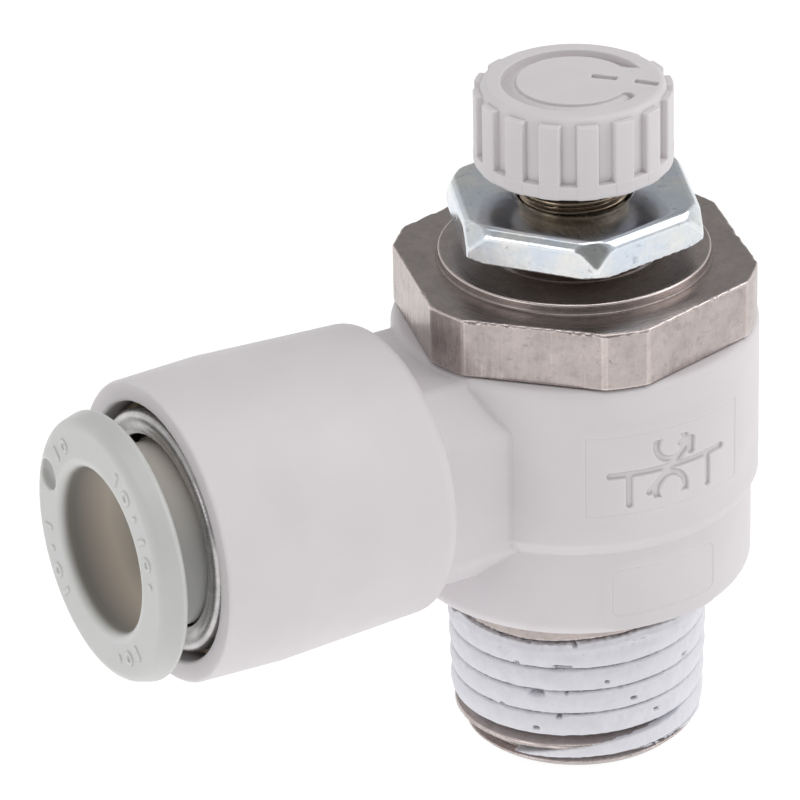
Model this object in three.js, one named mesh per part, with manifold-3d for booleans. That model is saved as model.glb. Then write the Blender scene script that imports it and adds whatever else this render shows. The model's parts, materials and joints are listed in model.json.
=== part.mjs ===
// Elbow-type one-touch flow control valve (speed controller) for 8 mm tube.
// Millimetres. +Z runs up the valve axis from the threaded end face (z = 0);
// the tube arm points along -X at height ARM_Z.
import * as THREE from 'three';
import { mergeVertices, toCreasedNormals } from 'three/addons/utils/BufferGeometryUtils.js';
import ManifoldModule from 'manifold-3d';

const wasm = await ManifoldModule();
wasm.setup();
const { Manifold, Mesh: ManifoldMesh } = wasm;

// ---- driving dimensions -------------------------------------------------
const SEG_FINE = 72;            // facets round the large visible curves
const SEG = 48;                 // facets round the other large turned parts
const SEG_MID = 36;             // facets round the bores and the chuck
const SEG_NUT = 32;             // facets round the lock nut's chamfer
const SEG_SMALL = 24;           // facets round the small hidden parts
const ARM_Z = 17.65;            // height of the tube arm's axis

const THREAD_PITCH = 1.337;     // R 1/4 taper thread
const THREAD_DEPTH = 0.80;
const THREAD_TOP = 8.3;         // end of the thread
const THREAD_CREST = 6.58;      // metal crest radius at THREAD_TOP
const THREAD_TAPER = 1 / 32;    // radius lost per mm towards the end face
const THREAD_PHASE = 1.30;      // height of a root where it crosses +X
const THREAD_SEG = 24;
const END_FACE_R = 5.56;
const PORT_R = 4.0;             // bore in the threaded end
const SEAL_SKIN = 0.13;         // sealant thickness on the crests

const STEM_R = 6.98;            // metal stem inside the barrel
const BARREL_BORE_R = 7.05;
const BARREL_BOTTOM = 9.26;
const BARREL_TOP = 23.40;
const BARREL_R = 9.30;
const BARREL_LOWER_R = 8.93;
const STEP_LOW = 14.06;
const STEP_HIGH = 14.87;

const FLANGE_BOTTOM = 23.46;
const FLANGE_TOP = 26.56;
const FLANGE_AF = 17;
const FLANGE_CORNER_R = 9.23;
const FLANGE_ANGLE = 44.9;      // direction of one spanner flat, degrees
const COLLAR_R = 6.87;
const COLLAR_TOP = 27.09;

const CHAMBER_R = 4.35;
const SEAT_LOW = 12.95;
const SEAT_HIGH = 14.30;
const ORIFICE_R = 2.3;
const GUIDE_LOW = 19.6;
const GUIDE_BORE_R = 3.05;

const NEEDLE_R = 2.95;          // sliding length below the adjusting thread
const NEEDLE_THREAD_LOW = 23.35;
const NEEDLE_THREAD_R = 2.80;
const SPINDLE_R = 2.3;

const NUT_AF = 11.94;
const NUT_ANGLE = 38.2;         // direction of one flat, degrees
const NUT_BOTTOM = 28.30;
const NUT_TOP = 30.20;
const NUT_BEVEL = 0.36;
const NUT_BORE_R = 2.90;

const KNOB_BOTTOM = 31.80;
const KNOB_TOP = 36.12;
const KNOB_R = 4.62;            // smooth body between the ribs
const RIB_R = 4.99;
const RIB_COUNT = 16;
const RIB_WIDTH = 1.08;
const RIB_ANGLE = -113.0;       // direction of one rib, degrees
const RIB_TOP = 35.80;
const BAND_TOP = 32.60;
const POINTER_ANGLE = -36;      // gap in the groove on the knob's top, degrees

const MOUTH_X = -24.2;
const MOUTH_R = 6.62;
const ARM_REAR_X = -11.0;
const TUBE_STOP_X = -10.2;
const TUBE_R = 4.15;            // socket for 8 mm tube
const GLAND_X = -16.2;
const GLAND_R = 5.7;
const BUTTON_FACE_X = -27.43;
const BUTTON_BORE_R = 4.2;
const BUTTON_STEM_R = 4.65;

// ---- geometry helpers ---------------------------------------------------
const rad = (deg) => (deg * Math.PI) / 180;

function tidy(geometry) {
  const bare = new THREE.BufferGeometry();
  bare.setAttribute('position', geometry.getAttribute('position').clone());
  if (geometry.index) bare.setIndex(Array.from(geometry.index.array));
  const merged = mergeVertices(bare, 1e-4);
  const p = merged.getAttribute('position');
  const faces = [];
  let volume = 0;
  const a = new THREE.Vector3();
  const b = new THREE.Vector3();
  const c = new THREE.Vector3();
  for (let i = 0; i < merged.index.count; i += 3) {
    const [i0, i1, i2] = [0, 1, 2].map((k) => merged.index.getX(i + k));
    if (i0 === i1 || i1 === i2 || i2 === i0) continue;
    faces.push([i0, i1, i2]);
    a.fromBufferAttribute(p, i0);
    b.fromBufferAttribute(p, i1);
    c.fromBufferAttribute(p, i2);
    volume += a.dot(b.cross(c)) / 6;
  }
  merged.setIndex((volume < 0 ? faces.map(([x, y, z]) => [x, z, y]) : faces).flat());
  return merged;
}

function solid(geometry) {
  const g = tidy(geometry);
  return new Manifold(new ManifoldMesh({
    numProp: 3,
    vertProperties: new Float32Array(g.getAttribute('position').array),
    triVerts: new Uint32Array(g.index.array),
  }));
}

// Turned solid about +Z from [radius, z] points.
function turned(points, segments = SEG) {
  const profile = points.map(([r, z]) => new THREE.Vector2(r, z));
  return solid(new THREE.LatheGeometry(profile, segments).rotateX(Math.PI / 2));
}

// Turned solid about the arm's axis from [radius, x] points.
function turnedArm(points, segments = SEG) {
  const profile = points.map(([r, x]) => new THREE.Vector2(r, x));
  return solid(new THREE.LatheGeometry(profile, segments).rotateZ(-Math.PI / 2).translate(0, 0, ARM_Z));
}

const loop = (points) => [...points, points[0]];

function ringProfile(rMid, zMid, minor, steps = 10) {
  return Array.from({ length: steps + 1 }, (_, i) => {
    const t = (2 * Math.PI * i) / steps;
    return [rMid + minor * Math.cos(t), zMid + minor * Math.sin(t)];
  });
}

function hexPrism(acrossFlats, flatAngle, low, high) {
  const corner = acrossFlats / 2 / Math.cos(Math.PI / 6);
  const shape = new THREE.Shape(Array.from({ length: 6 }, (_, i) => {
    const t = rad(flatAngle + 30 + 60 * i);
    return new THREE.Vector2(corner * Math.cos(t), corner * Math.sin(t));
  }));
  return solid(new THREE.ExtrudeGeometry(shape, { depth: high - low, bevelEnabled: false })
    .translate(0, 0, low));
}

// Hexagonal frustum with its flats tapering in towards the top.
function hexFrustum(lowAF, highAF, flatAngle, low, high) {
  const k = 1 / 2 / Math.cos(Math.PI / 6);
  return solid(new THREE.CylinderGeometry(highAF * k, lowAF * k, high - low, 6)
    .rotateX(Math.PI / 2)
    .rotateZ(rad(flatAngle + 30) - Math.atan2(-1, 0))
    .translate(0, 0, (low + high) / 2));
}

// Round drill along a direction in the XY plane, from the valve axis outwards.
function radialDrill(r, angle, from, to, z, segments = 20) {
  return solid(new THREE.CylinderGeometry(r, r, to - from, segments)
    .rotateZ(-Math.PI / 2)
    .translate((from + to) / 2, 0, 0)
    .rotateZ(rad(angle))
    .translate(0, 0, z));
}

function block(dx, dy, dz, x, y, z, turn = 0, at = [0, 0]) {
  return solid(new THREE.BoxGeometry(dx, dy, dz)
    .translate(x, y, z)
    .rotateZ(rad(turn))
    .translate(at[0], at[1], 0));
}

// Taper-threaded rod: four rows of points per turn follow the helix, and
// both ends close onto the axis. The caller trims it to length.
function threadedRod(growCrest, growRoot) {
  const half = 0.0834;
  const rows = [[-half, 0], [half, 0], [0.5 - half, 1], [0.5 + half, 1]];
  const turns = 9;
  const start = THREAD_PHASE - 2 * THREAD_PITCH;
  const count = turns * rows.length;
  const column = (i, j) => {
    const turn = i / THREAD_SEG;
    const [phase, crest] = rows[((j % rows.length) + rows.length) % rows.length];
    const z = start + THREAD_PITCH * (Math.floor(j / rows.length) + phase + turn);
    const outer = THREAD_CREST - (THREAD_TOP - z) * THREAD_TAPER;
    const r = crest ? outer + growCrest : outer - THREAD_DEPTH + growRoot;
    return [r * Math.cos(2 * Math.PI * turn), r * Math.sin(2 * Math.PI * turn), z];
  };
  const vertices = [];
  const at = [];
  for (let i = 0; i <= THREAD_SEG; i++) {
    at.push([]);
    for (let j = 0; j <= count; j++) {
      at[i].push(vertices.length / 3);
      vertices.push(...column(i, j));
    }
  }
  const faces = [];
  for (let i = 0; i < THREAD_SEG; i++) {
    for (let j = 0; j < count; j++) {
      const [a, b, c, d] = [at[i][j], at[i + 1][j], at[i + 1][j + 1], at[i][j + 1]];
      faces.push(a, b, c, a, c, d);
    }
  }
  const per = rows.length;
  const low = vertices.length / 3;
  vertices.push(0, 0, start - 1);
  const high = low + 1;
  vertices.push(0, 0, start + THREAD_PITCH * turns + 3);
  for (let i = 0; i < THREAD_SEG; i++) {
    faces.push(low, at[i + 1][0], at[i][0]);
    faces.push(high, at[i][count], at[i + 1][count]);
  }
  for (let j = 0; j < per; j++) {
    faces.push(low, at[0][j], at[0][j + 1]);
    faces.push(high, at[THREAD_SEG][count - per + j + 1], at[THREAD_SEG][count - per + j]);
  }
  const g = new THREE.BufferGeometry();
  g.setAttribute('position', new THREE.Float32BufferAttribute(vertices, 3));
  g.setIndex(faces);
  return solid(g);
}

const union = (...parts) => Manifold.union(parts);
const cut = (body, ...tools) => Manifold.difference([body, ...tools]);
const common = (...parts) => Manifold.intersection(parts);

// ---- materials ----------------------------------------------------------
const finish = {
  body: { color: 0xd2cdcd, roughness: 0.5, metalness: 0 },
  knob: { color: 0xcfcac9, roughness: 0.5, metalness: 0 },
  button: { color: 0xc6cac4, roughness: 0.35, metalness: 0 },
  nickel: { color: 0xb9ada4, roughness: 0.3, metalness: 1 },
  zinc: { color: 0xc9d0d8, roughness: 0.25, metalness: 1 },
  brass: { color: 0xb59a5b, roughness: 0.35, metalness: 1 },
  stainless: { color: 0xb8b7b5, roughness: 0.35, metalness: 1 },
  sealant: { color: 0xeef0f2, roughness: 0.75, metalness: 0 },
  rubber: { color: 0x1d1d1e, roughness: 0.8, metalness: 0 },
  nylon: { color: 0xe6e4da, roughness: 0.6, metalness: 0 },
};

const group = new THREE.Group();
group.name = 'flow_control_valve';

function add(name, look, manifold) {
  const out = manifold.getMesh();
  const g = new THREE.BufferGeometry();
  g.setAttribute('position', new THREE.Float32BufferAttribute(out.vertProperties, 3));
  g.setIndex(Array.from(out.triVerts));
  const mesh = new THREE.Mesh(toCreasedNormals(g, rad(30)),
    new THREE.MeshStandardMaterial({ name: look, ...finish[look] }));
  mesh.name = name;
  group.add(mesh);
}

// ---- threaded metal body ------------------------------------------------
const crestAt = (z) => THREAD_CREST - (THREAD_TOP - z) * THREAD_TAPER;

// Outline the threaded length is trimmed to; grow adds the sealant's skin.
function threadEnvelope(low, high, grow) {
  const lowR = Math.min(END_FACE_R + low * 1.05, crestAt(low) + 0.03);
  const full = Math.max(low + 0.05, 0.75);
  return turned([[0, low], [lowR + grow, low], [crestAt(full) + 0.03 + grow, full],
    [crestAt(high) + 0.03 + grow, high], [0, high]], THREAD_SEG);
}

const stem = turned([
  [0, 0], [5.2, 0], [5.2, THREAD_TOP - 0.4], [6.05, THREAD_TOP + 0.15], [6.05, 9.05],
  [6.5, 9.12], [STEM_R, 9.5], [STEM_R, 9.75], [5.72, 9.75], [5.72, 11.1], [STEM_R, 11.1],
  [STEM_R, 11.4], [6.3, 11.4], [6.3, 12.6], [5.6, 12.6], [5.6, 14.6], [5.4, 14.8],
  [5.4, 20.8], [STEM_R, 21.0], [STEM_R, 21.55], [5.72, 21.55], [5.72, 22.95],
  [STEM_R, 22.95], [STEM_R, FLANGE_BOTTOM + 0.5], [0, FLANGE_BOTTOM + 0.5],
], THREAD_SEG);
const flange = turned([
  [0, FLANGE_BOTTOM], [FLANGE_CORNER_R - 0.12, FLANGE_BOTTOM],
  [FLANGE_CORNER_R, FLANGE_BOTTOM + 0.12], [FLANGE_CORNER_R, FLANGE_TOP - 0.16],
  [FLANGE_CORNER_R - 0.16, FLANGE_TOP], [COLLAR_R, FLANGE_TOP],
  [COLLAR_R, COLLAR_TOP - 0.1], [COLLAR_R - 0.1, COLLAR_TOP], [0, COLLAR_TOP],
]);
const threaded = common(threadedRod(0, 0), threadEnvelope(0, THREAD_TOP, 0));
const inside = turned([
  [0, -1], [PORT_R + 0.5, -1], [PORT_R + 0.5, 0], [PORT_R, 0.5], [PORT_R, SEAT_LOW],
  [CHAMBER_R, SEAT_LOW], [CHAMBER_R, COLLAR_TOP + 1], [0, COLLAR_TOP + 1],
], SEG_MID);
const ports = [45, 135, 225, 315].map((t) => radialDrill(1.5, t, 3, 7, ARM_Z));
const bypass = [0, 60, 120, 180, 240, 300].map((t) => radialDrill(0.5, t, 3, 7, 12.0, 12));
add('metal_body', 'nickel', cut(
  union(stem, threaded, common(flange, hexPrism(FLANGE_AF, FLANGE_ANGLE, 20, 30))),
  inside, ...ports, ...bypass,
));
add('thread_sealant', 'sealant', cut(
  common(threadedRod(SEAL_SKIN, SEAL_SKIN + 0.05), threadEnvelope(1.3, THREAD_TOP - 0.1, SEAL_SKIN)),
  threadedRod(0.02, 0.02),
));
for (const [name, z] of [['lower_body_o_ring', 10.42], ['upper_body_o_ring', 22.25]]) {
  add(name, 'rubber', turned(ringProfile(6.38, z, 0.62), SEG_SMALL));
}
add('check_lip_seal', 'rubber', turned(loop([
  [5.66, 12.8], [6.9, 12.8], [6.98, 13.1], [7.0, 14.3], [6.75, 14.3], [6.55, 13.5],
  [6.1, 13.5], [5.95, 14.3], [5.66, 14.3],
]), SEG_SMALL));
add('orifice_seat', 'brass', turned(loop([
  [ORIFICE_R, SEAT_LOW + 0.03], [CHAMBER_R - 0.04, SEAT_LOW + 0.03],
  [CHAMBER_R - 0.04, SEAT_HIGH], [ORIFICE_R + 0.25, SEAT_HIGH], [ORIFICE_R, SEAT_HIGH - 0.2],
]), SEG_SMALL));
add('needle_guide', 'nickel', turned(loop([
  [GUIDE_BORE_R, GUIDE_LOW], [CHAMBER_R - 0.04, GUIDE_LOW],
  [CHAMBER_R - 0.04, COLLAR_TOP - 0.15], [CHAMBER_R - 0.15, COLLAR_TOP - 0.04],
  [GUIDE_BORE_R + 0.25, COLLAR_TOP - 0.04], [GUIDE_BORE_R, COLLAR_TOP - 0.3],
]), SEG_SMALL));

// ---- resin elbow --------------------------------------------------------
const barrel = turned([
  [0, BARREL_BOTTOM], [8.26, BARREL_BOTTOM], [8.68, BARREL_BOTTOM + 0.14],
  [BARREL_LOWER_R, BARREL_BOTTOM + 0.55], [BARREL_LOWER_R, STEP_LOW], [BARREL_R, STEP_HIGH],
  [BARREL_R, BARREL_TOP - 0.22], [BARREL_R - 0.2, BARREL_TOP], [0, BARREL_TOP],
], SEG_FINE);
const NECK = [[5.76, -3.4], [5.76, 3.4], [3.66, 5.55], [-3.66, 5.55],
  [-5.76, 3.4], [-5.76, -3.4], [-3.66, -5.55], [3.66, -5.55]];
const neckShape = new THREE.Shape(NECK.map(([y, z]) => new THREE.Vector2(y, z)));
const neck = solid(new THREE.ExtrudeGeometry(neckShape, { depth: 7.5, bevelEnabled: false })
  .rotateX(Math.PI / 2).rotateZ(Math.PI / 2).translate(-12.5, 0, ARM_Z));
const arm = turnedArm([
  [0, MOUTH_X], [7.2, MOUTH_X], [7.46, MOUTH_X + 0.09], [7.63, MOUTH_X + 0.28],
  [7.70, MOUTH_X + 0.6], [7.83, -19.7], [7.50, -12.1], [7.36, -11.55], [7.06, -11.17],
  [6.6, ARM_REAR_X], [0, ARM_REAR_X],
], SEG_FINE);
const socket = turnedArm([
  [0, MOUTH_X - 1], [MOUTH_R, MOUTH_X - 1], [MOUTH_R, -19.9], [GLAND_R, -19.9],
  [GLAND_R, GLAND_X], [TUBE_R, GLAND_X], [TUBE_R, TUBE_STOP_X], [3.0, TUBE_STOP_X],
  [3.0, -5], [0, -5],
]);
const barrelBore = turned([[0, 5], [BARREL_BORE_R, 5], [BARREL_BORE_R, 30], [0, 30]]);
add('elbow_body', 'body', cut(union(barrel, neck, arm), socket, barrelBore));

// ---- one-touch tube connection -------------------------------------------
add('tube_seal', 'rubber', turnedArm(loop([
  [4.2, -16.35], [5.6, -16.35], [5.64, -17.2], [5.64, -18.75], [5.2, -18.75],
  [4.95, -17.6], [4.7, -17.6], [4.45, -18.75], [4.12, -18.75],
]), SEG_SMALL));
add('seal_spacer', 'nylon', turnedArm(loop([
  [4.3, -19.0], [5.6, -19.0], [5.6, -20.0], [6.5, -20.0], [6.5, -20.4], [4.9, -20.4],
]), SEG_SMALL));
const chuckRing = turnedArm(loop([
  [5.3, -21.3], [6.15, -21.3], [6.15, -21.9], [5.55, -21.9], [5.3, -21.75],
]), SEG_MID);
const chuckClaws = turnedArm(loop([
  [4.2, -20.55], [4.5, -20.5], [5.6, -21.6], [5.3, -21.7],
]), SEG_MID);
const chuckSlots = Array.from({ length: 8 }, (_, i) => solid(
  new THREE.BoxGeometry(1.05, 0.5, 3).translate(-20.86, 0, 5).rotateX(rad(45 * i + 22.5))
    .translate(0, 0, ARM_Z)));
add('collet_chuck', 'stainless', union(chuckRing, cut(chuckClaws, ...chuckSlots)));
add('chuck_collar', 'brass', turnedArm(loop([
  [5.55, -20.5], [6.5, -20.5], [6.5, -23.2], [6.25, -23.2], [6.25, -21.2], [5.85, -20.9],
]), SEG_SMALL));
add('stopper_ring', 'stainless', turnedArm(loop([
  [4.85, -23.55], [4.85, -23.85], [5.4, -24.02], [5.9, -24.14], [6.15, -24.14],
  [6.4, -24.0], [6.5, -23.75], [6.5, -23.3], [6.22, -23.3], [6.1, -23.7], [5.6, -23.7],
]), SEG));

const buttonHead = [
  [BUTTON_BORE_R, -22.65], [4.75, -22.65], [4.82, -23.0], [BUTTON_STEM_R, -23.25],
  [BUTTON_STEM_R, -25.7], [6.3, -25.85], [6.68, -25.95], [6.82, -26.15], [6.49, BUTTON_FACE_X],
  [4.75, BUTTON_FACE_X], [4.45, BUTTON_FACE_X + 0.12], [BUTTON_BORE_R, BUTTON_FACE_X + 0.6],
];
const gateDimple = solid(new THREE.CylinderGeometry(0.9, 0.9, 0.3, 24).rotateZ(Math.PI / 2)
  .translate(BUTTON_FACE_X, 5.1, ARM_Z + 2.0));
add('release_button', 'button', cut(turnedArm(loop(buttonHead)), gateDimple));

// ---- needle and knob ----------------------------------------------------
add('needle', 'nickel', turned([
  [0, 12.3], [1.1, 12.4], [2.2, SEAT_HIGH - 0.25], [2.22, SEAT_HIGH], [2.6, SEAT_HIGH + 0.15],
  [2.6, 14.9], [2.3, 14.9], [2.3, 15.3], [2.6, 15.3], [NEEDLE_R, 15.6], [NEEDLE_R, 20.0],
  [2.0, 20.0], [2.0, 21.15], [NEEDLE_R, 21.15], [NEEDLE_R, NEEDLE_THREAD_LOW - 0.15],
  [NEEDLE_THREAD_R, NEEDLE_THREAD_LOW], [NEEDLE_THREAD_R, 31.5], [SPINDLE_R, 31.6], [SPINDLE_R, 34.9], [0, 34.9],
], SEG_SMALL));
add('needle_stop_ring', 'stainless', turned(loop([
  [2.35, 14.97], [3.9, 14.97], [3.9, 15.23], [2.35, 15.23],
]), SEG_SMALL));
add('needle_o_ring', 'rubber', turned(ringProfile(2.52, 20.57, 0.48), SEG_SMALL));

const knobBlank = turned([
  [0, KNOB_BOTTOM], [4.71, KNOB_BOTTOM], [4.92, KNOB_BOTTOM + 0.12], [RIB_R + 0.02, KNOB_BOTTOM + 0.4],
  [RIB_R + 0.01, BAND_TOP], [KNOB_R + 0.03, BAND_TOP], [KNOB_R, KNOB_TOP - 0.55],
  [KNOB_R - 0.08, KNOB_TOP - 0.22], [KNOB_R - 0.25, KNOB_TOP - 0.04], [KNOB_R - 0.42, KNOB_TOP],
  [0, KNOB_TOP],
], SEG_FINE);
const ribs = Array.from({ length: RIB_COUNT }, (_, i) => block(
  RIB_R - 4.2, RIB_WIDTH, RIB_TOP - BAND_TOP + 0.1,
  (RIB_R + 4.2) / 2, 0, (RIB_TOP + BAND_TOP - 0.1) / 2, RIB_ANGLE + (360 / RIB_COUNT) * i));
const knobInside = turned([
  [0, KNOB_BOTTOM - 1], [4.2, KNOB_BOTTOM - 1], [4.15, 34.9], [3.1, 34.9], [3.1, 32.1],
  [2.9, 31.95], [SPINDLE_R + 0.06, 31.95], [SPINDLE_R + 0.06, 34.95], [0, 34.95],
], SEG_MID);
const grooveRing = turned(loop([
  [2.85, KNOB_TOP + 0.3], [2.85, KNOB_TOP - 0.01], [3.58, KNOB_TOP - 0.28], [3.62, KNOB_TOP + 0.3],
]));
const grooveGap = solid(new THREE.ExtrudeGeometry(new THREE.Shape([
  new THREE.Vector2(0, 0), new THREE.Vector2(6, -2.6), new THREE.Vector2(6, 2.6),
]), { depth: 3, bevelEnabled: false }).rotateZ(rad(POINTER_ANGLE)).translate(0, 0, KNOB_TOP - 1.5));
const pointerMarks = [[1.49, -0.5, -47, 1.35], [2.92, -2.15, -51, 1.25]].map(
  ([x, y, turn, length]) => block(length, 0.42, 0.4, 0, 0, KNOB_TOP + 0.03, turn, [x, y]));
add('knob', 'knob', cut(union(knobBlank, ...ribs), knobInside,
  cut(grooveRing, grooveGap), ...pointerMarks));

// ---- lock nut -----------------------------------------------------------
const nutBlank = turned([
  [0, NUT_BOTTOM], [6.45, NUT_BOTTOM], [6.95, NUT_BOTTOM + 0.2], [6.95, NUT_TOP - 1.2],
  [6.35, NUT_TOP], [0, NUT_TOP],
], SEG_NUT);
const nutHex = union(hexPrism(NUT_AF, NUT_ANGLE, NUT_BOTTOM, NUT_TOP - NUT_BEVEL),
  hexFrustum(NUT_AF, NUT_AF - 2 * NUT_BEVEL, NUT_ANGLE, NUT_TOP - NUT_BEVEL, NUT_TOP));
const nutBore = turned([
  [0, NUT_BOTTOM - 1], [5.05, NUT_BOTTOM - 1], [5.05, NUT_BOTTOM + 0.6], [NUT_BORE_R, NUT_BOTTOM + 0.6],
  [NUT_BORE_R, NUT_TOP - 0.12], [NUT_BORE_R + 0.14, NUT_TOP + 0.02], [0, NUT_TOP + 0.02],
], SEG_MID);
add('lock_nut', 'zinc', cut(common(nutHex, nutBlank), nutBore));
add('nut_friction_ring', 'nylon', turned(loop([
  [3.0, NUT_BOTTOM + 0.04], [4.97, NUT_BOTTOM + 0.04], [4.97, NUT_BOTTOM + 0.55], [3.0, NUT_BOTTOM + 0.55],
]), SEG_SMALL));

export default group;
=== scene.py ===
"""Elbow flow control valve: the finished surfaces, materials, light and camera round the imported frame.

Shape functions work in millimetres and return a signed distance that is negative inside the piece.
A factor below 1 on a sloping side keeps it true to about 1 per mm.
surface() turns such a function into a mesh. z = 0 is the threaded end, and the tube arm points along -X.
"""
import json
import math

import bpy
import numpy as np
from mathutils import Matrix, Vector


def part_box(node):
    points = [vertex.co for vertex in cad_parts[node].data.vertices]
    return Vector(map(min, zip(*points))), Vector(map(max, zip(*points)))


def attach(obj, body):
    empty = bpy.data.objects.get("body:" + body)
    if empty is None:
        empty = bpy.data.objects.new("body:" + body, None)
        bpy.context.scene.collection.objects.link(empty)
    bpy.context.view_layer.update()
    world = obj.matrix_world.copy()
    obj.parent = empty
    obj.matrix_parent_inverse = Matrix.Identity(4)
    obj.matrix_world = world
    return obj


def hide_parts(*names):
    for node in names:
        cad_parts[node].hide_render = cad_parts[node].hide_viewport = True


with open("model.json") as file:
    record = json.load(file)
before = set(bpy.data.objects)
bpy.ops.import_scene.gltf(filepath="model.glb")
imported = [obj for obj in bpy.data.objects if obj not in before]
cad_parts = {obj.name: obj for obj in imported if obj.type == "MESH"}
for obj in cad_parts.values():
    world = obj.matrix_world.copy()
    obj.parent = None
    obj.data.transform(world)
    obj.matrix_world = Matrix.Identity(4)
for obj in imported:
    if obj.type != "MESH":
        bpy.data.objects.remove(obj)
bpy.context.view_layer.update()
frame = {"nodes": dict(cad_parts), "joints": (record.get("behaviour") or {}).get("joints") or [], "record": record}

MM = 0.001


def node_box(name):
    """Lowest and highest corners of a CAD node, in mm."""
    return [np.array(corner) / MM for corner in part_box(name)]


# ---- driving dimensions, mm and degrees ---------------------------------------
# What the frame doesn't give is measured on the photo, or chosen where it shows nothing.
# _R is a radius and _HALF a half width.
ARM_Z = next(j for j in frame["joints"] if j["name"] == "elbow_swivel")["pos_m"][2] / MM

elbow_low, elbow_high = node_box("elbow_body")
MOUTH_X = elbow_low[0]
BARREL_BOTTOM = elbow_low[2]
BARREL_R = elbow_high[1]
BARREL_LOWER_R = BARREL_R - 0.37
STEP_LOW, STEP_HIGH = 14.06, 14.87
BARREL_BORE_R = 7.05
ARM_REAR_X = -11.0
# The arm's radius at points along X, and each bore's radius with the X where it ends.
ARM_OUTLINE = ((-30.0, 7.55), (MOUTH_X, 7.70), (-19.7, 7.83), (-11.9, 7.49), (-5.0, 7.20))
MOUTH_R = 6.62
SOCKET_STEPS = ((MOUTH_R, -19.9), (5.7, -16.2), (4.15, -10.2), (3.0, -5.0))
NECK_HALF_WIDTH, NECK_HALF_HEIGHT, NECK_BEVEL = 5.76, 5.55, 6.477
NECK_X, NECK_HALF_LENGTH = -9.0, 4.0

# Label areas: PANEL_SPLIT_Z lies between the two, and PANEL_REACH keeps them on one side of the barrel.
PANEL_ANGLE = -90.3
UPPER_PANEL_Z, UPPER_PANEL_SIZE, UPPER_PANEL_CORNER = 18.68, (9.15, 4.45), 0.15
LOWER_PANEL_Z, LOWER_PANEL_SIZE, LOWER_PANEL_CORNER = 11.85, (6.12, 2.7), 0.45
PANEL_SPLIT_Z = 15.5
PANEL_SINK, PANEL_SKIN, PANEL_POCKET = 0.030, 0.006, 0.30
PANEL_THICKNESS, PANEL_MARGIN, PANEL_REACH = 0.45, 0.80, 8
SYMBOL_DEPTH, SYMBOL_LINE = 0.16, 0.36

THREAD_PITCH = 1.337
THREAD_DEPTH = 0.80
THREAD_TOP = 8.3
SHOULDER_TOP = 8.9
THREAD_CREST = 6.58
THREAD_TAPER = 1 / 32
THREAD_PHASE = 1.30
THREAD_FLAT = 0.10
END_FACE_R = 5.56
END_FACE_SLOPE = 1.05
PORT_R, PORT_CHAMFER = 4.0, 0.5
PIT_IN_METAL, PIT_IN_SEALANT = 0.30, 0.45
SEALANT_SKIN, SEALANT_OVER_METAL = 0.10, 0.08
ROOT_DIP, ROOT_DIP_HALF = 0.24, 0.07
FLANK_DIP, FLANK_HALF = 0.13, 0.67
CHAMBER_R = 4.35
CHAMBER_FLOOR = 12.95
STEM_R = 6.98
STEM_NECK_R = 6.05
STEM_MIDDLE, STEM_HALF = 16.5, 7.0
O_RING_HEIGHTS, O_RING_GROOVE_R, O_RING_GROOVE_HALF = (10.42, 22.25), 5.72, 0.70
FLOW_GROOVE_Z, FLOW_GROOVE_R, FLOW_GROOVE_HALF = 16.1, 5.5, 4.6
CROSS_PORT_R, CROSS_PORT_ANGLE = 1.5, 45

body_high = node_box("metal_body")[1]
COLLAR_TOP = body_high[2]
COLLAR_R = 6.87
FLANGE_TOP = COLLAR_TOP - 0.53
FLANGE_BOTTOM = FLANGE_TOP - 3.10
BARREL_TOP = FLANGE_BOTTOM - 0.06
FLANGE_FLAT = 8.5
FLANGE_CORNER_R = 9.23
FLANGE_ANGLE = 44.9

nut_low, nut_high = node_box("lock_nut")
NUT_BOTTOM, NUT_TOP = nut_low[2], nut_high[2]
NUT_FLAT = 5.97
NUT_ANGLE = 38.2
NUT_BEVEL = 0.36
NUT_BORE_R = 2.90
NUT_TOP_R, NUT_TOP_SLOPE = 6.24, 0.487
NUT_BOTTOM_R, NUT_BOTTOM_SLOPE = 6.5, 1.9
NUT_RECESS_R, NUT_RECESS = 5.03, 0.58

NEEDLE_R = 2.80
NEEDLE_PITCH, NEEDLE_THREAD_DEPTH = 0.5, 0.20
NEEDLE_THREAD_BOTTOM, NEEDLE_GUIDE_R = 23.4, 2.93
SHANK_MIDDLE, SHANK_HALF = 23.5, 8.0
NEEDLE_GROOVE_Z, NEEDLE_GROOVE_R, NEEDLE_GROOVE_HALF = 20.57, 2.0, 0.57
SPINDLE_R, SPINDLE_MIDDLE, SPINDLE_HALF = 2.3, 24.95, 9.9
TIP_R, TIP_BOTTOM, TIP_SLOPE, TIP_MIDDLE, TIP_HALF = 1.1, 12.4, 0.66, 13.9, 1.5

knob_low, knob_high = node_box("knob")
KNOB_BOTTOM, KNOB_TOP = knob_low[2], knob_high[2]
KNOB_R = 4.62
RIB_R = 4.99
RIB_COUNT = 16
RIB_HALF = 0.54
RIB_ANGLE = -113.0
RIB_TOP = KNOB_TOP - 0.32
BAND_TOP = KNOB_BOTTOM + 0.80
GROOVE_R, GROOVE_HALF = 3.225, 0.375
GROOVE_START, GROOVE_RUN = -13.0, 307.0
GROOVE_DEPTH = 0.48
KNOB_HOLLOW_R, KNOB_HOLLOW_TOP = 4.17, 34.9
KNOB_BOSS_R, KNOB_BOSS_BOTTOM, KNOB_BORE_R, KNOB_BORE_TOP = 3.1, 31.95, 2.36, 34.95
KNOB_MARK_DEPTH, KNOB_MARK_WIDTH = 0.32, 0.42
# Centre, turn and length of each mark on the knob's top.
KNOB_MARKS = (((1.49, -0.50), -47, 1.35), ((2.92, -2.15), -51, 1.25))

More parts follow.
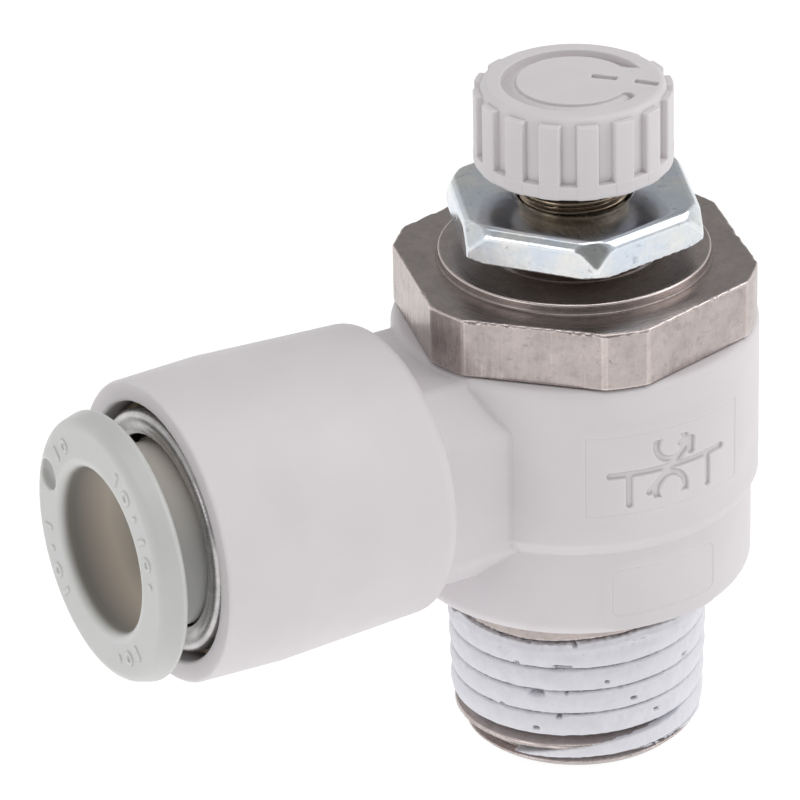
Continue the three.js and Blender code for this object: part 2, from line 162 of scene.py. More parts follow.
button_low, button_high = node_box("release_button")
BUTTON_FACE_X, BUTTON_END_X = button_low[0], button_high[0]
BUTTON_BORE_R = 4.2
BUTTON_STEM_R = 4.65
BUTTON_HEAD, BUTTON_FACE_R, BUTTON_RIM_R = 1.48, 6.60, 6.90
BUTTON_LIP_R = 4.82
BUTTON_LEAD = 0.45
BUTTON_SAG = 0.18
BUTTON_MARK = 0.07
MARKS_R, MARK_STEP = 5.45, 12
# Angle of each group of marks round the button's face, and how many it has.
MARK_GROUPS = ((47, 2), (144, 6), (238, 3), (331, 4))
DIMPLE_Y, DIMPLE_UP, DIMPLE_R, DIMPLE_DEPTH = 5.25, 1.9, 0.80, 0.55

LIP_X = node_box("stopper_ring")[0][0]
LIP_R, LIP_ROLL_R = 5.79, 0.41
DISH_R, SKIRT_R, RELIEF_R = 5.40, 6.09, 5.60


# ---- signed distances ----------------------------------------------------------
def both(a, b, r=0.0):
    """Inside a and b, with a round of radius r along their edge."""
    if np.ndim(r) == 0 and r == 0:
        return np.maximum(a, b)
    outside = np.hypot(np.maximum(a + r, 0), np.maximum(b + r, 0))
    return outside + np.minimum(np.maximum(a, b) + r, 0) - r


def either(a, b, r=0.0):
    """Inside a or b, with a fillet of radius r where they meet."""
    return -both(-a, -b, r)


def without(a, b, r=0.0):
    """Inside a and outside b, with a round of radius r along the edge."""
    return both(a, -b, r)


def ease(low, high, t):
    """0 at low and before it, 1 at high and past it, smooth between."""
    u = np.clip((t - low) / (high - low), 0, 1)
    return u * u * (3 - 2 * u)


def degrees(x, y):
    """Angle round the valve's axis from +X."""
    return np.degrees(np.arctan2(y, x))


def from_arm_axis(y, z):
    return np.hypot(y, z - ARM_Z)


def turn_from(angle, theta):
    """theta less angle, wrapped to -180..180 degrees."""
    return (theta - angle + 180) % 360 - 180


def hexagon(x, y, half, angle, r):
    """A hexagon's distance; one flat faces the given angle and lies half from the centre."""
    turns = [math.radians(angle + 60 * k) for k in range(3)]
    slabs = [np.abs(x * math.cos(a) + y * math.sin(a)) - half for a in turns]
    return both(both(slabs[0], slabs[1], r), slabs[2], r)


def bar(u, v, centre, size, turn, r):
    """A bar with corners of radius r, turned by turn degrees, in a plane with coordinates u and v."""
    a = math.radians(turn)
    du, dv = u - centre[0], v - centre[1]
    along = np.abs(du * math.cos(a) + dv * math.sin(a)) - size[0] / 2 + r
    across = np.abs(-du * math.sin(a) + dv * math.cos(a)) - size[1] / 2 + r
    outside = np.hypot(np.maximum(along, 0), np.maximum(across, 0))
    return outside + np.minimum(np.maximum(along, across), 0) - r


def stroke(u, v, start, end, width):
    """A line with round ends in a plane with coordinates u and v."""
    su, sv = end[0] - start[0], end[1] - start[1]
    t = np.clip(((u - start[0]) * su + (v - start[1]) * sv) / (su * su + sv * sv), 0, 1)
    return np.hypot(u - start[0] - t * su, v - start[1] - t * sv) - width / 2


def lumps(x, y, z, size, seed, layers=3):
    """Smooth noise of about +-1, from sums of sines with fixed pseudo-random directions."""
    rng = np.random.default_rng(seed)
    total = 0.0
    weight = 0.0
    for layer in range(layers):
        strength = 0.7 ** layer
        for _ in range(4):
            wave = rng.normal(size=3)
            wave *= 2 * math.pi / (size / 1.8 ** layer) / np.linalg.norm(wave)
            phase = rng.uniform(0, 2 * math.pi)
            total = total + strength * np.sin(x * wave[0] + y * wave[1] + z * wave[2] + phase)
            weight += strength
    return total / math.sqrt(weight)


# ---- meshes --------------------------------------------------------------------
CORNERS = np.array([(i, j, k) for i in (0, 1) for j in (0, 1) for k in (0, 1)])
BLOCK = 8
BLOCKS_AT_ONCE = 400
REACH_OF_BLOCK = 1.15
BEND_REACH, SHARPEST_BEND = 0.06, 12


def sample(field, axes):
    """The field on a grid; blocks far from the surface get their centre's value."""
    cell = axes[0][1] - axes[0][0]
    counts = [len(a) for a in axes]
    centres = [a[::BLOCK] + (BLOCK - 1) / 2 * cell for a in axes]
    coarse = field(*np.meshgrid(*centres, indexing="ij")).astype(np.float32)
    values = coarse
    for axis, count in enumerate(counts):
        values = np.repeat(values, BLOCK, axis).take(np.arange(count), axis)
    near = np.argwhere(np.abs(coarse) < REACH_OF_BLOCK * BLOCK * cell)
    offsets = np.argwhere(np.ones([BLOCK] * 3, bool))
    for some in np.array_split(near, len(near) // BLOCKS_AT_ONCE + 1):
        at = (some[:, None] * BLOCK + offsets[None]).reshape(-1, 3)
        at = at[(at < counts).all(1)].T
        values[tuple(at)] = field(*(a[i] for a, i in zip(axes, at)))
    return values


def gradient(field, p, step):
    """The field's slope at points p, by central differences."""
    slopes = []
    for axis in range(3):
        offset = np.zeros(3)
        offset[axis] = step
        slopes.append(field(*(p + offset).T) - field(*(p - offset).T))
    return np.stack(slopes, 1) / (2 * step)


def crossed_cells(inside):
    """The grid cells with some corners inside and some outside."""
    wide, deep, tall = np.array(inside.shape) - 1
    count = sum(inside[i:i + wide, j:j + deep, k:k + tall].astype(np.uint8) for i, j, k in CORNERS)
    return np.argwhere((count > 0) & (count < 8))


def cell_points(values, cells):
    """In each cell that the surface crosses, the mean of the crossings on its edges, in cells."""
    total = np.zeros((len(cells), 3))
    count = np.zeros(len(cells))
    for a in CORNERS:
        for b in CORNERS:
            if (b - a).sum() != 1 or (b - a).min() < 0:
                continue
            va, vb = values[tuple((cells + a).T)], values[tuple((cells + b).T)]
            crossed = (va < 0) != (vb < 0)
            t = va[crossed] / (va[crossed] - vb[crossed])
            total[crossed] += a + t[:, None] * (b - a)
            count[crossed] += 1
    return cells + total / count[:, None]


def cell_quads(inside, index):
    """One quad round each grid edge that the surface crosses, facing out."""
    quads = []
    for axis in range(3):
        first, second = [slice(None)] * 3, [slice(None)] * 3
        first[axis], second[axis] = slice(0, -1), slice(1, None)
        here, there = inside[tuple(first)], inside[tuple(second)]
        edges = np.argwhere(here != there)
        outward = here[tuple(edges.T)]
        u, v = np.zeros(3, int), np.zeros(3, int)
        u[(axis + 1) % 3], v[(axis + 2) % 3] = 1, 1
        ring = [index[tuple((edges - o).T)] for o in (u + v, v, 0 * u, u)]
        quad = np.stack(ring, 1)
        quad[~outward] = quad[~outward][:, ::-1]
        quads.append(quad)
    return np.concatenate(quads)


def surface(name, field, low, high, cell):
    """A mesh object of the field's zero surface inside a box, with the field's own normals.
    Its attributes edge and hollow say how sharply it bends outward and inward."""
    axes = [np.arange(a - 1.5 * cell, b + 2.5 * cell, cell) for a, b in zip(low, high)]
    values = sample(field, axes)
    inside = values < 0
    cells = crossed_cells(inside)
    index = np.full(inside.shape, -1, np.int64)
    index[tuple(cells.T)] = np.arange(len(cells))
    points = cell_points(values, cells) * cell + np.array([a[0] for a in axes])
    for _ in range(2):
        slope = gradient(field, points, cell * 0.2)
        step = field(*points.T)[:, None] * slope / np.maximum((slope ** 2).sum(1), 0.04)[:, None]
        points = points - np.clip(step, -0.4 * cell, 0.4 * cell)
    normals = gradient(field, points, cell * 0.3)
    steepness = np.maximum(np.linalg.norm(normals, axis=1), 1e-9)
    made = mesh_object(name, points, cell_quads(inside, index), normals / steepness[:, None])
    bend = curvature(field, points, BEND_REACH) / steepness
    for attribute, amount in (("edge", bend), ("hollow", -bend)):
        layer = made.data.attributes.new(attribute, "FLOAT", "POINT")
        layer.data.foreach_set("value", np.clip(amount / SHARPEST_BEND, 0, 1).astype(np.float32))
    return made


def curvature(field, p, reach):
    """Sum of the surface's curvatures, per mm: positive on outer edges, negative in corners."""
    total = -6 * field(*p.T)
    for axis in range(3):
        for side in (-reach, reach):
            offset = np.zeros(3)
            offset[axis] = side
            total = total + field(*(p + offset).T)
    return total / reach ** 2


def mesh_object(name, points, quads, normals):
    """A smooth mesh of quads with the given normals; points are in mm."""
    mesh = bpy.data.meshes.new(name)
    mesh.vertices.add(len(points))
    mesh.vertices.foreach_set("co", (points * MM).astype(np.float32).ravel())
    mesh.loops.add(quads.size)
    mesh.loops.foreach_set("vertex_index", quads.astype(np.int32).ravel())
    mesh.polygons.add(len(quads))
    mesh.polygons.foreach_set("loop_start", np.arange(0, quads.size, 4, dtype=np.int32))
    mesh.update(calc_edges=True)
    mesh.validate()
    mesh.shade_smooth()
    mesh.normals_split_custom_set_from_vertices(normals.astype(np.float32))
    made = bpy.data.objects.new(name, mesh)
    bpy.context.scene.collection.objects.link(made)
    return made


# ---- resin elbow ---------------------------------------------------------------
def barrel_radius(z):
    """Outer radius of the barrel, which widens over a step."""
    heights = (STEP_LOW, STEP_LOW + 0.12, STEP_HIGH)
    return np.interp(z, heights, (BARREL_LOWER_R, BARREL_LOWER_R + 0.02, BARREL_R))


def barrel_field(x, y, z):
    """Upright barrel with a rounded foot."""
    side = np.hypot(x, y) - barrel_radius(z)
    d = both(side, BARREL_BOTTOM + 0.05 - z, 0.90)
    return both(d, z - BARREL_TOP, 0.45)


def neck_field(x, y, z):
    """Bevelled block between the barrel and the arm."""
    wide, tall = np.abs(y), np.abs(z - ARM_Z)
    d = both(wide - NECK_HALF_WIDTH, (wide + tall) / math.sqrt(2) - NECK_BEVEL, 0.18)
    d = both(d, tall - NECK_HALF_HEIGHT, 0.18)
    return both(d, np.abs(x - NECK_X) - NECK_HALF_LENGTH)


def arm_field(x, y, z):
    """Tube arm, a little barrel-shaped along its length."""
    s = from_arm_axis(y, z)
    outline_x, outline_r = zip(*ARM_OUTLINE)
    side = s - np.interp(x, outline_x, outline_r)
    d = both(side, MOUTH_X - x, 0.13)
    return both(d, x - ARM_REAR_X, 0.9)


def socket_field(x, y, z):
    """The stepped hole that takes the one-touch parts and the tube."""
    s = from_arm_axis(y, z)
    steps = [both(s - bore_r, x - end_x) for bore_r, end_x in SOCKET_STEPS]
    return np.minimum.reduce(steps)


def elbow_field(x, y, z):
    """Neck, arm and barrel in one moulding, with the socket and the barrel's bore cut out."""
    d = either(neck_field(x, y, z), arm_field(x, y, z), 0.12)
    d = either(d, barrel_field(x, y, z) + panel_pocket(x, y, z), 0.14)
    d = without(d, socket_field(x, y, z), 0.16)
    return without(d, np.hypot(x, y) - BARREL_BORE_R, 0.15)


def on_barrel(x, y, centre_angle, radius):
    """Signed distance round the barrel from centre_angle, in mm."""
    return turn_from(centre_angle, degrees(x, y)) * math.pi / 180 * radius


def panel_outlines(x, y, z):
    """Distances in the barrel's surface from the outlines of the upper and lower label areas."""
    round_upper = on_barrel(x, y, PANEL_ANGLE, BARREL_R)
    round_lower = on_barrel(x, y, PANEL_ANGLE, BARREL_LOWER_R)
    upper = bar(round_upper, z, (0, UPPER_PANEL_Z), UPPER_PANEL_SIZE, 0, UPPER_PANEL_CORNER)
    lower = bar(round_lower, z, (0, LOWER_PANEL_Z), LOWER_PANEL_SIZE, 0, LOWER_PANEL_CORNER)
    return upper, lower


def panel_pocket(x, y, z):
    """How far the barrel is cut back behind the label areas."""
    return PANEL_POCKET * ease(0.25, 0.05, np.minimum(*panel_outlines(x, y, z)))


def panel_field(x, y, z):
    """The two label areas: shallow sunken fields, the upper one engraved with the flow symbol."""
    outline = np.minimum(*panel_outlines(x, y, z))
    symbol = flow_symbol(on_barrel(x, y, PANEL_ANGLE, BARREL_R), z - UPPER_PANEL_Z)
    surface_r = np.where(z > PANEL_SPLIT_Z, BARREL_R, BARREL_LOWER_R) + PANEL_SKIN
    surface_r = surface_r - PANEL_SINK * ease(0.05, -0.05, outline) - SYMBOL_DEPTH * ease(0.05, -0.05, symbol)
    surface_r = surface_r - 2 * PANEL_SKIN * ease(0.35, PANEL_MARGIN, outline)
    r = np.hypot(x, y)
    plate = both((r - surface_r) * 0.7, surface_r - PANEL_THICKNESS - r)
    near_side = np.hypot(x, y + BARREL_R) - PANEL_REACH
    return both(both(plate, outline - PANEL_MARGIN), near_side)


def flow_symbol(u, v):
    """Flow control symbol: a line with two arcs and a slanting arrow, and a foot at each side."""
    width = SYMBOL_LINE
    d = stroke(u, v, (-3.3, 0.0), (3.3, 0.0), width)
    for side in (-1, 1):
        arc = np.abs(np.hypot(u, v - side * 1.25) - 0.85) - width / 2
        d = either(d, both(arc, side * (v - side * 1.25) - 0.35))
        d = either(d, stroke(u, v, (side * 2.3, 0.0), (side * 2.3, -1.7), width))
    d = either(d, stroke(u, v, (-1.25, -1.2), (1.25, 1.2), width))
    for end in ((0.55, 1.15), (1.2, 0.5)):
        d = either(d, stroke(u, v, (1.25, 1.2), end, width))
    return d


# ---- threaded metal body -------------------------------------------------------
# Pits through the sealant: angle, height, half width and half height.
PITS = ((-139.8, 4.70, 0.40, 0.17), (-127.6, 6.38, 0.45, 0.09),
        (-95.0, 4.18, 0.18, 0.10), (-65.0, 5.46, 0.18, 0.12),
        (-140.2, 2.60, 0.16, 0.10), (-129.5, 3.35, 0.14, 0.09),
        (-101.1, 4.93, 0.12, 0.08), (-157.8, 3.51, 0.13, 0.08), (-126.0, 4.77, 0.10, 0.07),
        (-107.8, 5.42, 0.12, 0.07), (-149.3, 6.26, 0.12, 0.08), (-83.1, 3.10, 0.14, 0.09),
        (-122.0, 7.65, 0.12, 0.08))


def pit_depth(x, y, z):
    """1 at the bottom of a pit, 0 away from the pits."""
    theta = degrees(x, y)
    deep = 0.0
    for angle, height, half_wide, half_tall in PITS:
        across = turn_from(angle, theta) * math.pi / 180 * THREAD_CREST
        deep = deep + np.exp(-(across / half_wide) ** 4 - ((z - height) / half_tall) ** 4)
    return deep


def thread_phase(x, y, z):
    """Distance along Z from the nearest thread root, in mm."""
    turns = (z - THREAD_PHASE) / THREAD_PITCH - degrees(x, y) / 360
    return np.abs(turns - np.round(turns)) * THREAD_PITCH


def crest_radius(z):
    """Radius of the tapered thread's crests."""
    return THREAD_CREST - (THREAD_TOP - z) * THREAD_TAPER


def thread_radius(x, y, z):
    """Radius of the thread, which ends in a plain shoulder above the sealant."""
    rise = np.clip((thread_phase(x, y, z) - THREAD_FLAT) / (THREAD_PITCH / 2 - 2 * THREAD_FLAT), 0, 1)
    plain = ease(-0.15, 0.10, z - follow(SEALANT_TOP, degrees(x, y)))
    return crest_radius(z) - THREAD_DEPTH * (1 - rise) * (1 - plain) - 0.06 * plain


def stem_field(x, y, z):
    """The threaded end and the stem inside the barrel."""
    r = np.hypot(x, y)
    rooted = thread_radius(x, y, z) - PIT_IN_METAL * pit_depth(x, y, z)
    threaded = both((r - rooted) * 0.6, z - SHOULDER_TOP, 0.1)
    threaded = both(threaded, (r - END_FACE_R - z * END_FACE_SLOPE) * 0.69, 0.05)
    neck = both(r - STEM_NECK_R, np.abs(z - 9.0) - 1.0)
    upper = both(r - STEM_R, np.abs(z - STEM_MIDDLE) - STEM_HALF, 0.3)
    for groove_z in O_RING_HEIGHTS:
        groove = both(O_RING_GROOVE_R - r, np.abs(z - groove_z) - O_RING_GROOVE_HALF)
        upper = without(upper, groove, 0.1)
    upper = without(upper, both(FLOW_GROOVE_R - r, np.abs(z - FLOW_GROOVE_Z) - FLOW_GROOVE_HALF), 0.2)
    d = either(either(threaded, neck, 0.1), upper, 0.1)
    d = both(d, -z, 0.08)
    bore = r - PORT_R - PORT_CHAMFER * np.clip(1 - z / PORT_CHAMFER, 0, 1)
    chamber = both(r - CHAMBER_R, CHAMBER_FLOOR - z)
    d = without(d, either(bore, chamber), 0.06)
    return without(d, cross_ports(x, y, z), 0.05)


def cross_ports(x, y, z):
    """Four round holes through the stem at the height of the tube arm."""
    a = math.radians(CROSS_PORT_ANGLE)
    u, v = x * math.cos(a) + y * math.sin(a), -x * math.sin(a) + y * math.cos(a)
    w = z - ARM_Z
    return either(np.hypot(u, w) - CROSS_PORT_R, np.hypot(v, w) - CROSS_PORT_R)


def flange_field(x, y, z):
    """Spanner hexagon and collar, with turned edges that are a little ragged."""
    r = np.hypot(x, y)
    ragged = np.clip(lumps(x, y, z * 0.3, 1.5, 4) - 0.2, -0.6, 1.4)
    sides = hexagon(x, y, FLANGE_FLAT, FLANGE_ANGLE, 0.06) + 0.006 * lumps(x, y, z * 0.15, 0.5, 5)
    d = both(sides, r - FLANGE_CORNER_R, 0.05)
    d = both(d, z - FLANGE_TOP, 0.14 + 0.09 * ragged)
    d = both(d, FLANGE_BOTTOM - z, 0.12)
    collar = both(r - COLLAR_R, z - COLLAR_TOP, 0.10)
    collar = both(collar, FLANGE_BOTTOM + 1 - z)
    d = either(d, collar, 0.12)
    return without(d, r - CHAMBER_R, 0.08)


# ---- thread sealant ------------------------------------------------------------
# Outlines of the coating as (angle, height): its top edge, and the crescent over the thread's start.
SEALANT_TOP = ((-211, 6.9), (-197, 7.03), (-186, 7.6), (-169, 7.62), (-143, 7.64), (-128, 7.78),
               (-112, 7.97), (-91, 8.16), (-72, 8.04), (-20, 7.8), (60, 7.5), (149, 6.9))
CRESCENT_TOP = ((-211, 0.2), (-160, 0.3), (-152, 0.83), (-144, 1.02), (-130, 1.38), (-116, 1.62),
                (-102, 1.82), (-82, 2.0), (-70, 2.17), (-55, 2.6), (-40, 3.0), (60, 3.0), (120, 0.2),
                (149, 0.2))
CRESCENT_LOW = ((-211, 1.0), (-153, 0.69), (-130, 0.76), (-101, 0.87), (-58, 0.9), (149, 1.0))
OUTLINE_MIDDLE = -31.0
HELIX_SEAM = 40


def follow(outline, theta):
    """Height of an outline given as (angle, height) points round the thread."""
    angles, heights = zip(*outline)
    return np.interp(turn_from(OUTLINE_MIDDLE, theta) + OUTLINE_MIDDLE, angles, heights)


def sealant_field(x, y, z):
    """Coating over the crests and flanks, thin in the roots and open at the pits."""
    r, theta = np.hypot(x, y), degrees(x, y)
    q = thread_phase(x, y, z)
    rough = lumps(x, y, z, 0.9, 11, 2)
    fine = lumps(x, y, z, 0.35, 12, 1)
    below = follow(SEALANT_TOP, theta) - 0.12 - z
    root = ROOT_DIP * np.exp(-(q / (ROOT_DIP_HALF + 0.02 * rough)) ** 2)
    root = root + FLANK_DIP * (1 - q / FLANK_HALF) ** 2
    outer = crest_radius(z) + 0.03 + SEALANT_SKIN * ease(0.0, 0.5, below) - root * ease(0.32, 0.75, below)
    deep = pit_depth(x, y, z)
    outer = outer + 0.014 * rough + 0.004 * fine - PIT_IN_SEALANT * deep
    skin = (r - outer) * 0.8
    top = -below - 0.02 * rough - 0.015 * fine
    helix = THREAD_PHASE + THREAD_PITCH * ((theta % 360) / 360)
    low = np.where(theta % 360 > HELIX_SEAM, helix, THREAD_PHASE + THREAD_PITCH) - z
    crescent = both(z - follow(CRESCENT_TOP, theta), follow(CRESCENT_LOW, theta) - z - 0.02 * rough)
    cover = both(either(low, crescent), top)
    d = both(skin, cover, 0.07)
    return both(d, (thread_radius(x, y, z) - 0.35 * deep - SEALANT_OVER_METAL - r) * 0.6)


# ---- needle, nut and knob --------------------------------------------------------
def needle_field(x, y, z):
    """Threaded shank in two widths with an O-ring groove, spindle up into the knob, and cone tip."""
    r = np.hypot(x, y)
    turns = z / NEEDLE_PITCH - degrees(x, y) / 360
    ridge = np.abs(turns - np.round(turns)) * 2
    thread_r = NEEDLE_R - NEEDLE_THREAD_DEPTH * (1 - np.clip(ridge * 1.3, 0, 1))
    radius = np.where(z > NEEDLE_THREAD_BOTTOM, thread_r, NEEDLE_GUIDE_R)
    shank = both((r - radius) * 0.7, np.abs(z - SHANK_MIDDLE) - SHANK_HALF, 0.1)
    groove = both(NEEDLE_GROOVE_R - r, np.abs(z - NEEDLE_GROOVE_Z) - NEEDLE_GROOVE_HALF)
    shank = without(shank, groove, 0.05)
    spindle = both(r - SPINDLE_R, np.abs(z - SPINDLE_MIDDLE) - SPINDLE_HALF, 0.1)
    cone = (r - TIP_R - (z - TIP_BOTTOM) * TIP_SLOPE) * 0.83
    tip = both(cone, np.abs(z - TIP_MIDDLE) - TIP_HALF, 0.1)
    return either(either(shank, spindle), tip, 0.05)


def nut_field(x, y, z):
    """Hexagon nut, bevelled above, turned round at its corners and recessed below."""
    r = np.hypot(x, y)
    flats = hexagon(x, y, NUT_FLAT, NUT_ANGLE, 0.16)
    d = both(flats, z - NUT_TOP, 0.03)
    d = both(d, (flats + z - NUT_TOP + NUT_BEVEL) / math.sqrt(2), 0.14)
    d = both(d, (r - NUT_TOP_R - (NUT_TOP - z) * NUT_TOP_SLOPE) * 0.899, 0.10)
    d = both(d, NUT_BOTTOM - z, 0.04)
    d = both(d, (r - NUT_BOTTOM_R - (z - NUT_BOTTOM) * NUT_BOTTOM_SLOPE) * 0.466, 0.05)
    bore = r - NUT_BORE_R - np.clip(z - NUT_TOP + 0.12, 0, 1)
    d = without(d, bore, 0.05)
    return without(d, both(r - NUT_RECESS_R, z - NUT_BOTTOM - NUT_RECESS), 0.05)


def knob_top_groove(x, y, z):
    """C-shaped groove: an upright outer wall, a floor that rises to the centre disc and a round end."""
    r, theta = np.hypot(x, y), degrees(x, y)
    run = (theta - GROOVE_START) % 360
    ring = np.abs(r - GROOVE_R) - GROOVE_HALF
    past_end = np.minimum(run - GROOVE_RUN, 360 - run) * math.pi / 180 * GROOVE_R
    end = math.radians(GROOVE_START + GROOVE_RUN)
    round_end = np.hypot(x - GROOVE_R * math.cos(end), y - GROOVE_R * math.sin(end)) - GROOVE_HALF
    outline = np.minimum(np.maximum(ring, past_end), round_end)
    slant = 0.30 + 0.70 * ease(-GROOVE_HALF, GROOVE_HALF, r - GROOVE_R)
    depth = GROOVE_DEPTH * ease(0, 30, run) * slant
    return both(outline, KNOB_TOP - z - depth, 0.04)


def knob_field(x, y, z):
    """Ribbed knob with a band round its foot, a marked top and a hollow underside."""
    r, theta = np.hypot(x, y), degrees(x, y)
    core = both(r - KNOB_R, z - KNOB_TOP, 0.38)
    pitch = 360 / RIB_COUNT
    fold = np.radians((theta - RIB_ANGLE + pitch / 2) % pitch - pitch / 2)
    rib = both(np.abs(r * np.sin(fold)) - RIB_HALF, r - RIB_R, 0.10)
    rib = both(rib, z - RIB_TOP, 0.07)
    band = both(r - RIB_R - 0.01, z - BAND_TOP, 0.06)
    d = either(either(core, rib, 0.06), band, 0.06)
    d = both(d, KNOB_BOTTOM - z, 0.28)
    d = without(d, knob_top_groove(x, y, z), 0.035)
    for centre, turn, length in KNOB_MARKS:
        outline = bar(x, y, centre, (length, KNOB_MARK_WIDTH), turn, 0.08)
        d = without(d, both(outline, KNOB_TOP - KNOB_MARK_DEPTH - z, 0.05), 0.035)
    boss = both(r - KNOB_BOSS_R, KNOB_BOSS_BOTTOM - z)
    hollow = without(both(r - KNOB_HOLLOW_R, z - KNOB_HOLLOW_TOP), boss)
    d = without(d, hollow, 0.1)
    return without(d, both(r - KNOB_BORE_R, z - KNOB_BORE_TOP), 0.05)


# ---- one-touch connection --------------------------------------------------------
def button_field(x, y, z):
    """Release button: a tapered head with marks and a dimple, and a stem into the arm."""
    w = z - ARM_Z + BUTTON_SAG
    s = np.hypot(y, w)
    face = BUTTON_FACE_X + BUTTON_MARK
    cone = (s - np.interp(x, (face, face + 1.1), (BUTTON_FACE_R, BUTTON_RIM_R))) * 0.97
    head = both(both(cone, face - x, 0.42), x - BUTTON_FACE_X - BUTTON_HEAD, 0.38)
    stem = both(s - BUTTON_STEM_R, x - BUTTON_END_X, 0.1)
    d = either(head, both(stem, BUTTON_FACE_X + 0.5 - x), 0.2)
    lip = both(s - BUTTON_LIP_R, np.abs(x - BUTTON_END_X + 0.32) - 0.3, 0.1)
    d = either(d, lip, 0.1)
    before_bore = np.clip(BUTTON_LEAD - x + face, 0, BUTTON_LEAD)
    lead = BUTTON_LEAD - np.sqrt(np.maximum(BUTTON_LEAD ** 2 - before_bore ** 2, 0))
    d = without(d, s - BUTTON_BORE_R - lead, 0.05)
    d = either(d, button_marks(x, y, w), 0.04)
    dimple_outline = np.hypot(y - DIMPLE_Y, w - DIMPLE_UP) - DIMPLE_R
    dimple = both(dimple_outline, x - BUTTON_FACE_X - DIMPLE_DEPTH, 0.30)
    return without(d, dimple, 0.12)


def button_marks(x, y, w):
    """Raised bars, rings and dots round the face, in place of the moulded figures."""
    d = 1e9
    for angle, count in MARK_GROUPS:
        for k in range(count):
            bearing = angle + MARK_STEP * (k - (count - 1) / 2)
            a = math.radians(bearing)
            centre = (MARKS_R * math.cos(a), MARKS_R * math.sin(a))
            if k % 3 == 1:
                mark = np.abs(np.hypot(y - centre[0], w - centre[1]) - 0.27) - 0.10
            else:
                mark = bar(y, w, centre, (0.80 - 0.2 * (k % 3), 0.26), bearing, 0.12)
            d = np.minimum(d, mark)
    return both(d, np.abs(x - BUTTON_FACE_X - 0.15) - 0.15, 0.03)


def stopper_field(x, y, z):
    """Pressed ring: a rolled lip that runs in to a shallow dish and back along the bore."""
    s = from_arm_axis(y, z)
    lip = np.hypot(s - LIP_R, x - LIP_X - LIP_ROLL_R) - LIP_ROLL_R
    dish = both(np.abs(s - DISH_R) - 0.47, np.abs(x - LIP_X - 0.33) - 0.17, 0.10)
    skirt = both(np.abs(s - SKIRT_R) - 0.11, np.abs(x - LIP_X - 0.62) - 0.22, 0.05)
    d = either(either(lip, dish, 0.30), skirt, 0.02)
    return without(d, both(np.abs(s - RELIEF_R) - 0.36, LIP_X + 0.50 - x))


# ---- materials -------------------------------------------------------------------
def node(tree, kind, settings=None, **inputs):
    """A shader node, with its inputs set to a value or linked to a socket; _ stands for a space."""
    made = tree.nodes.new("ShaderNode" + kind)
    for name, value in (settings or {}).items():
        setattr(made, name, value)
    for name, value in inputs.items():
        connect(tree, made.inputs[name.replace("_", " ")], value)
    return made


def connect(tree, socket, value):
    if isinstance(value, bpy.types.NodeSocket):
        tree.links.new(value, socket)
    else:
        socket.default_value = value


def calc(tree, operation, *values):
    made = node(tree, "Math", {"operation": operation})
    for socket, value in zip(made.inputs, values):
        connect(tree, socket, value)
    return made.outputs[0]


def from_zero(tree, a, b):
    """Distance from 0 to the point (a, b)."""
    squares = [calc(tree, "MULTIPLY", side, side) for side in (a, b)]
    return calc(tree, "SQRT", calc(tree, "ADD", *squares))


def reach_along(tree, parts, direction):
    """How far a vector, given by its parts, reaches along a direction."""
    terms = [calc(tree, "MULTIPLY", part, share) for part, share in zip(parts, direction)]
    total = terms[0]
    for term in terms[1:]:
        total = calc(tree, "ADD", total, term)
    return total


def shade(colour, factor=1.0, lift=0.0):
    """colour times factor, plus lift, as a shader colour."""
    return tuple(min(1, c * factor + lift) for c in colour) + (1,)


def mix(tree, factor, a, b):
    """Colour a where factor is 0 and b where it is 1."""
    made = node(tree, "MixRGB", Fac=factor)
    connect(tree, made.inputs[1], a)
    connect(tree, made.inputs[2], b)
    return made.outputs[0]


def place(tree, stretch=(1, 1, 1)):
    """The object's own coordinates in mm; a stretch below 1 draws the grain out along that axis."""
    where = node(tree, "TexCoord").outputs["Object"]
    scale = tuple(s / MM for s in stretch)
    return node(tree, "Mapping", Vector=where, Scale=scale).outputs[0]


def noise(tree, where, per_mm, detail, rough=0.55):
    """Cloudy noise from 0 to 1, with per_mm as its largest features' scale."""
    made = node(tree, "TexNoise", Vector=where, Scale=per_mm, Detail=detail, Roughness=rough)
    return made.outputs["Fac"]


def span(tree, value, low, high, to_low, to_high):
    """value, clamped from low..high and mapped to to_low..to_high."""
    return node(tree, "MapRange", Value=value, From_Min=low, From_Max=high, To_Min=to_low,
                To_Max=to_high).outputs[0]


def new_material(name):
    material = bpy.data.materials.new(name)
    material.use_nodes = True
    tree = material.node_tree
    return material, tree, tree.nodes["Principled BSDF"]


def bump(tree, shader, height, strength, depth_mm):
    made = node(tree, "Bump", Strength=strength, Distance=depth_mm * MM, Height=height)
    tree.links.new(made.outputs[0], shader.inputs["Normal"])


def edge_wear(tree):
    """1 on sharp outer edges, 0 elsewhere."""
    edge = node(tree, "Attribute", {"attribute_name": "edge"}).outputs["Fac"]
    return span(tree, edge, 0.15, 0.7, 0, 1)


def corner_shade(tree, low, high):
    """Mask for painted shade: 1 in tight inner corners and pits, 0 elsewhere."""
    hollow = node(tree, "Attribute", {"attribute_name": "hollow"}).outputs["Fac"]
    return span(tree, hollow, low, high, 0, 1)


def paint_bore_shading(tree, where, tone, entry_shade_colour, deep_light_colour):
    """tone outside the button's bore; inside it, painted shade near the entry that gives way to painted light
    deeper in.
    """
    x, y, z = node(tree, "SeparateXYZ", Vector=where).outputs
    from_axis = from_zero(tree, y, calc(tree, "SUBTRACT", z, ARM_Z))
    depth = span(tree, x, BORE_ENTRY_X + 0.7, BORE_ENTRY_X + 2.6, 0, 1)
    deeper = mix(tree, depth, shade(entry_shade_colour), shade(deep_light_colour))
    near_axis = span(tree, from_axis, 4.4, 4.6, 1, 0)
    past_entry = span(tree, x, BORE_ENTRY_X, BORE_ENTRY_X + 0.4, 0, 1)
    return mix(tree, calc(tree, "MULTIPLY", near_axis, past_entry), tone, deeper)


